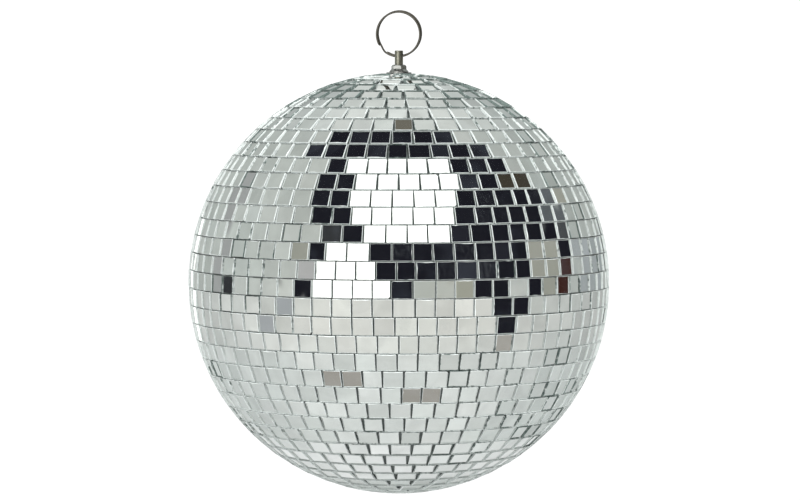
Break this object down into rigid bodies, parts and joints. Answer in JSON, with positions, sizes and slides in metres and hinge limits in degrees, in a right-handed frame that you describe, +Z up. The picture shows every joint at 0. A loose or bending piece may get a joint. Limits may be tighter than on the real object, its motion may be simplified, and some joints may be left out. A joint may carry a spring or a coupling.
{
  "type": "mirror ball",
  "caption": "Hanging mirror ball: rows of small flat mirror tiles on a hollow plastic core, a cross-drilled post bolted through the crown, and a split ring to hang it by.",
  "frame": {"origin": "where a hook bears on the inside of the split ring, at its top, straight above the ball's centre", "axes": "+Z up, along the post and the ball's own axis; +X along the cross hole that the ring passes through; +Y completes the right-handed frame, along the split ring's axis"},
  "size_m": [0.25, 0.25, 0.2869],
  "materials": {
    "mirror_glass": "polished",
    "backing_cloth": "woven",
    "core_plastic": "matte",
    "ring_steel": "satin",
    "post_steel": "satin",
    "zinc_plated_steel": "zinc plated"
  },
  "bodies": {
    "ring": {"split_ring": "ring_steel"},
    "ball": {"hanger_post": "post_steel", "flange_nut": "zinc_plated_steel", "top_washer": "zinc_plated_steel", "load_plate": "zinc_plated_steel", "lock_washer": "zinc_plated_steel", "inner_nut": "zinc_plated_steel", "jam_nut": "zinc_plated_steel", "shell_upper": "core_plastic", "shell_lower": "core_plastic", "cloth_backing": "backing_cloth", "mirror_row_01": "mirror_glass", "mirror_row_02": "mirror_glass", "mirror_row_03": "mirror_glass", "mirror_row_04": "mirror_glass", "mirror_row_05": "mirror_glass", "mirror_row_06": "mirror_glass", "mirror_row_07": "mirror_glass", "mirror_row_08": "mirror_glass", "mirror_row_09": "mirror_glass", "mirror_row_10": "mirror_glass", "mirror_row_11": "mirror_glass", "mirror_row_12": "mirror_glass", "mirror_row_13": "mirror_glass", "mirror_row_14": "mirror_glass", "mirror_row_15": "mirror_glass", "mirror_row_16": "mirror_glass", "mirror_row_17": "mirror_glass", "mirror_row_18": "mirror_glass", "mirror_row_19": "mirror_glass", "mirror_row_20": "mirror_glass", "mirror_row_21": "mirror_glass", "mirror_row_22": "mirror_glass", "mirror_row_23": "mirror_glass", "mirror_row_24": "mirror_glass", "mirror_row_25": "mirror_glass", "mirror_row_26": "mirror_glass", "mirror_row_27": "mirror_glass", "mirror_row_28": "mirror_glass", "mirror_row_29": "mirror_glass", "mirror_row_30": "mirror_glass", "mirror_row_31": "mirror_glass", "mirror_row_32": "mirror_glass", "mirror_row_33": "mirror_glass", "mirror_row_34": "mirror_glass", "mirror_row_35": "mirror_glass", "mirror_row_36": "mirror_glass", "mirror_bottom_tile": "mirror_glass"}
  },
  "joints": [
    {"name": "ring_swing", "type": "hinge", "parent": "ring", "child": "ball", "pos_m": [0, 0, -0.02548], "axis": [1, 0, 0], "range_deg": [-114, 114]}
  ]
}
